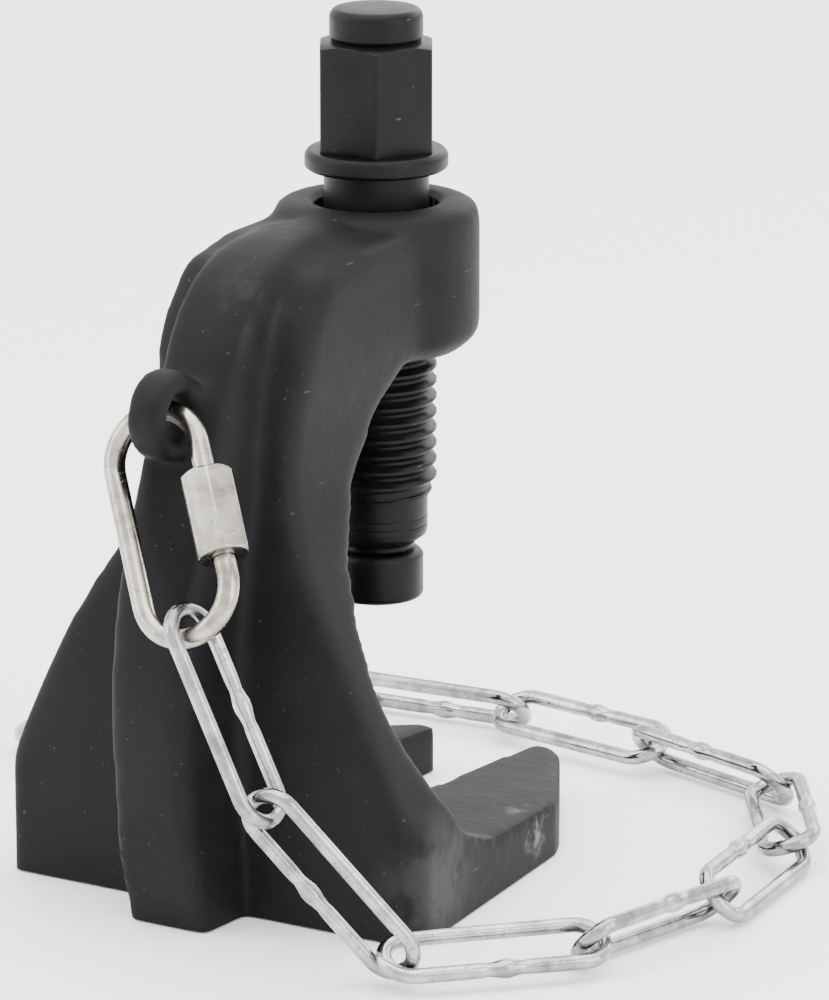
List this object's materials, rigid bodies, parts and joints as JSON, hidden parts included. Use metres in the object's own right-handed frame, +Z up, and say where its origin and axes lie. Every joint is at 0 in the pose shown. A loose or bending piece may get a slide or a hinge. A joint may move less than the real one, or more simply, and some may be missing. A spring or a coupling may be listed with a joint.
{
  "type": "ball joint separator",
  "caption": "Forged C-shaped press frame with a slotted fork, a hexagon-headed pressure screw and a safety chain held by quick links.",
  "frame": {"origin": "middle of the solid part of the base's underside, in the tool's plane of symmetry, 37 mm behind the screw's axis", "axes": "+Z up along the screw, +Y towards the open end of the fork, +X to the side"},
  "size_m": [0.189, 0.176, 0.168],
  "materials": {
    "frame_black": "matte black forged surface",
    "screw_black": "semi-gloss black oxide",
    "bare_steel": "ground steel",
    "zinc_steel": "bright zinc, slightly warm",
    "chain_steel": "bright polished chain steel"
  },
  "bodies": {
    "frame": {"frame": "frame_black"},
    "pressure_piece": {"thrust_pad": "screw_black", "thrust_ball": "bare_steel", "pad_retaining_ring": "bare_steel"},
    "spindle": {"spindle_screw": "screw_black"},
    "quick_link": {"quick_link_body": "zinc_steel"},
    "quick_nut": {"quick_link_nut": "zinc_steel"},
    "chain_link_01": {"chain_link_01": "chain_steel"},
    "chain_link_02": {"chain_link_02": "chain_steel"},
    "chain_link_03": {"chain_link_03": "chain_steel"},
    "chain_link_04": {"chain_link_04": "chain_steel"},
    "chain_link_05": {"chain_link_05": "chain_steel"},
    "chain_link_06": {"chain_link_06": "chain_steel"},
    "chain_link_07": {"chain_link_07": "chain_steel"},
    "chain_link_08": {"chain_link_08": "chain_steel"},
    "chain_link_09": {"chain_link_09": "chain_steel"},
    "chain_link_10": {"chain_link_10": "chain_steel"},
    "end_link": {"end_link_body": "zinc_steel"},
    "end_nut": {"end_link_nut": "zinc_steel"}
  },
  "joints": [
    {"name": "spindle_feed", "type": "slide", "parent": "frame", "child": "pressure_piece", "axis": [0, 0, 1], "range_m": [-0.00481, 0.04001]},
    {"name": "spindle_turn", "type": "hinge", "parent": "pressure_piece", "child": "spindle", "pos_m": [0, 0.037, 0.1], "axis": [0, 0, 1], "range_deg": [-540, 4500]},
    {"name": "quick_link_swing", "type": "hinge", "parent": "frame", "child": "quick_link", "pos_m": [-0.00343, -0.03676, 0.09903], "axis": [1, 0, 0], "range_deg": [-25, 4]},
    {"name": "quick_nut_travel", "type": "slide", "parent": "quick_link", "child": "quick_nut", "axis": [-0.4695, 0.377, 0.7984], "range_m": [0, 0.004]},
    {"name": "chain_joint_01", "type": "hinge", "parent": "quick_link", "child": "chain_link_01", "pos_m": [0.01559, -0.05302, 0.06662], "axis": [1, 0, 0], "range_deg": [-4, 25]},
    {"name": "chain_joint_02", "type": "hinge", "parent": "chain_link_01", "child": "chain_link_02", "pos_m": [0.03509, -0.05667, 0.03421], "axis": [0, 0, 1], "range_deg": [-10, 2]},
    {"name": "chain_joint_03", "type": "hinge", "parent": "chain_link_02", "child": "chain_link_03", "pos_m": [0.05757, -0.04571, 0.0056], "axis": [0, 0, 1], "range_deg": [-10, 2]},
    {"name": "chain_joint_04", "type": "hinge", "parent": "chain_link_03", "child": "chain_link_04", "pos_m": [0.08299, -0.01747, 0.0056], "axis": [0, 0, 1], "range_deg": [-10, 2]},
    {"name": "chain_joint_05", "type": "hinge", "parent": "chain_link_04", "child": "chain_link_05", "pos_m": [0.08959, 0.01996, 0.0056], "axis": [0, 0, 1], "range_deg": [-10, 2]},
    {"name": "chain_joint_06", "type": "hinge", "parent": "chain_link_05", "child": "chain_link_06", "pos_m": [0.08365, 0.05749, 0.0056], "axis": [0, 0, 1], "range_deg": [-10, 2]},
    {"name": "chain_joint_07", "type": "hinge", "parent": "chain_link_06", "child": "chain_link_07", "pos_m": [0.0624, 0.08899, 0.0056], "axis": [0, 0, 1], "range_deg": [-10, 2]},
    {"name": "chain_joint_08", "type": "hinge", "parent": "chain_link_07", "child": "chain_link_08", "pos_m": [0.02626, 0.10074, 0.0056], "axis": [0, 0, 1], "range_deg": [-10, 2]},
    {"name": "chain_joint_09", "type": "hinge", "parent": "chain_link_08", "child": "chain_link_09", "pos_m": [-0.01116, 0.10733, 0.0056], "axis": [0, 0, 1], "range_deg": [-10, 2]},
    {"name": "chain_joint_10", "type": "hinge", "parent": "chain_link_09", "child": "chain_link_10", "pos_m": [-0.04907, 0.10468, 0.0056], "axis": [0, 0, 1], "range_deg": [-10, 2]},
    {"name": "end_link_swing", "type": "hinge", "parent": "chain_link_10", "child": "end_link", "pos_m": [-0.07677, 0.0818, 0.005], "axis": [0, 0, 1], "range_deg": [-12, 12]},
    {"name": "end_nut_travel", "type": "slide", "parent": "end_link", "child": "end_nut", "axis": [0.2079, 0.9781, 0], "range_m": [0, 0.007]}
  ],
  "couplings": [
    {"joint": "spindle_feed", "follows": "spindle_turn", "m_per_rad": 0.0005093},
    {"joint": "chain_joint_01", "follows": "quick_link_swing", "ratio": -1}
  ]
}
